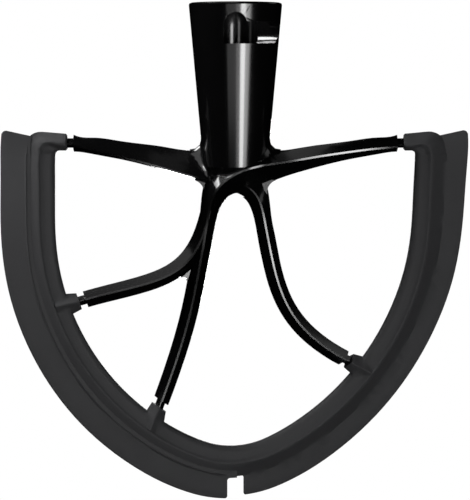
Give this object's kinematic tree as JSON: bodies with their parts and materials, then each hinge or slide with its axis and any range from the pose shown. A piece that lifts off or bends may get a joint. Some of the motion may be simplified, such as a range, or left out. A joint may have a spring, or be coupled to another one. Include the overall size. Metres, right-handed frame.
{
  "type": "stand mixer flat beater",
  "caption": "Flat paddle beater for a stand mixer: tapered hub with a bayonet pin slot, curved arms and a twisted rim with flexible wiping fins.",
  "frame": {"origin": "centre of the shaft bore at the hub's mouth", "axes": "+Z along the bore and out of its mouth, +X to the paddle's right, +Y to its back"},
  "size_m": [0.1498, 0.0296, 0.1606],
  "materials": {
    "frame_plastic": "high gloss black",
    "rim_rubber": "matt dark grey"
  },
  "bodies": {
    "root": {"beater_frame": "frame_plastic", "flex_edge_rim": "rim_rubber"}
  },
  "joints": []
}
